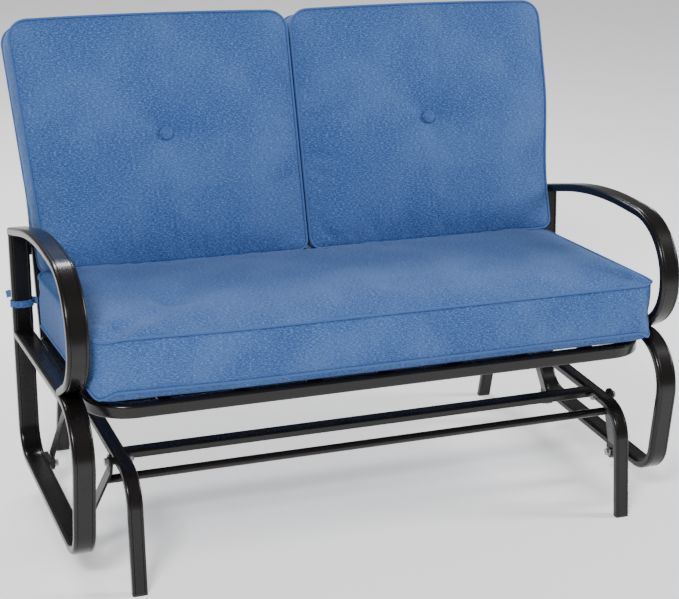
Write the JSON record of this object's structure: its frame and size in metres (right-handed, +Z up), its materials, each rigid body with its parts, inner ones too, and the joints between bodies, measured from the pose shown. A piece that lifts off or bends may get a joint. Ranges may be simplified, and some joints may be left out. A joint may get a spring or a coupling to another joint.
{
  "type": "glider loveseat",
  "caption": "Two-seat patio glider: cushioned loveseat with curved flat-tube arms, hung by cranked hangers from a floor base of arched legs, so that it swings back and forth.",
  "frame": {"origin": "centre of the overall footprint, on the floor", "axes": "+X across the seat, -Y to the front where the sitters' legs are, +Z up"},
  "size_m": [1.206, 0.7484, 0.8906],
  "materials": {
    "frame_paint": "semi-gloss dark bronze powder coat",
    "fastener_steel": "zinc-plated, satin",
    "bush_nylon": "matte black nylon",
    "foot_plastic": "matte black plastic",
    "cushion_fabric": "woven mid-blue outdoor fabric with lighter flecks",
    "tie_fabric": "the same fabric, sewn flat"
  },
  "bodies": {
    "base": {"base_arch_left": "frame_paint", "base_arch_right": "frame_paint", "base_crossbar_front": "frame_paint", "base_crossbar_rear": "frame_paint", "foot_caps": "foot_plastic", "pivot_bosses": "frame_paint", "upper_pivot_bolts": "fastener_steel", "upper_pivot_nuts": "fastener_steel"},
    "front_hanger": {"front_hanger_bar_left": "frame_paint", "front_hanger_bar_right": "frame_paint", "front_hanger_bushes_lower": "bush_nylon", "front_hanger_bushes_upper": "bush_nylon", "front_hanger_rod": "frame_paint"},
    "rear_hanger": {"rear_hanger_bar_left": "frame_paint", "rear_hanger_bar_right": "frame_paint", "rear_hanger_bushes_lower": "bush_nylon", "rear_hanger_bushes_upper": "bush_nylon", "rear_hanger_rod": "frame_paint"},
    "seat": {"armrest_left": "frame_paint", "armrest_right": "frame_paint", "back_bars": "frame_paint", "back_brace_left": "frame_paint", "back_brace_right": "frame_paint", "back_button_left": "cushion_fabric", "back_button_right": "cushion_fabric", "back_cushion_left": "cushion_fabric", "back_cushion_right": "cushion_fabric", "back_hoop": "frame_paint", "back_lower_rail": "frame_paint", "brace_bolts": "fastener_steel", "brace_nuts": "fastener_steel", "deck_bolts": "fastener_steel", "deck_nuts": "fastener_steel", "deck_tabs_left": "frame_paint", "deck_tabs_right": "frame_paint", "foot_bolts": "fastener_steel", "lower_bracket_front_left": "frame_paint", "lower_bracket_front_right": "frame_paint", "lower_bracket_rear_left": "frame_paint", "lower_bracket_rear_right": "frame_paint", "lower_pivot_nuts": "fastener_steel", "seat_cushion": "cushion_fabric", "seat_deck_ring": "frame_paint", "seat_slat_1": "frame_paint", "seat_slat_2": "frame_paint", "seat_slat_3": "frame_paint", "seat_slat_4": "frame_paint", "seat_slat_5": "frame_paint", "seat_slat_6": "frame_paint", "seat_slat_7": "frame_paint", "seat_stiffener": "frame_paint", "seat_tie_left": "tie_fabric", "seat_tie_right": "tie_fabric", "side_loop_left": "frame_paint", "side_loop_right": "frame_paint"}
  },
  "joints": [
    {"name": "front_hanger_swing", "type": "hinge", "parent": "base", "child": "front_hanger", "pos_m": [0, -0.24705, 0.2085], "axis": [1, 0, 0], "range_deg": [-15, 15]},
    {"name": "rear_hanger_swing", "type": "hinge", "parent": "base", "child": "rear_hanger", "pos_m": [0, 0.0826, 0.2085], "axis": [1, 0, 0], "range_deg": [-15, 15]},
    {"name": "seat_glide", "type": "hinge", "parent": "front_hanger", "child": "seat", "pos_m": [0, -0.21405, 0.06197], "axis": [1, 0, 0], "range_deg": [-17.5, 17.5]}
  ],
  "couplings": [
    {"joint": "rear_hanger_swing", "follows": "front_hanger_swing", "ratio": 0.9733},
    {"joint": "seat_glide", "follows": "front_hanger_swing", "ratio": -1.1361}
  ]
}
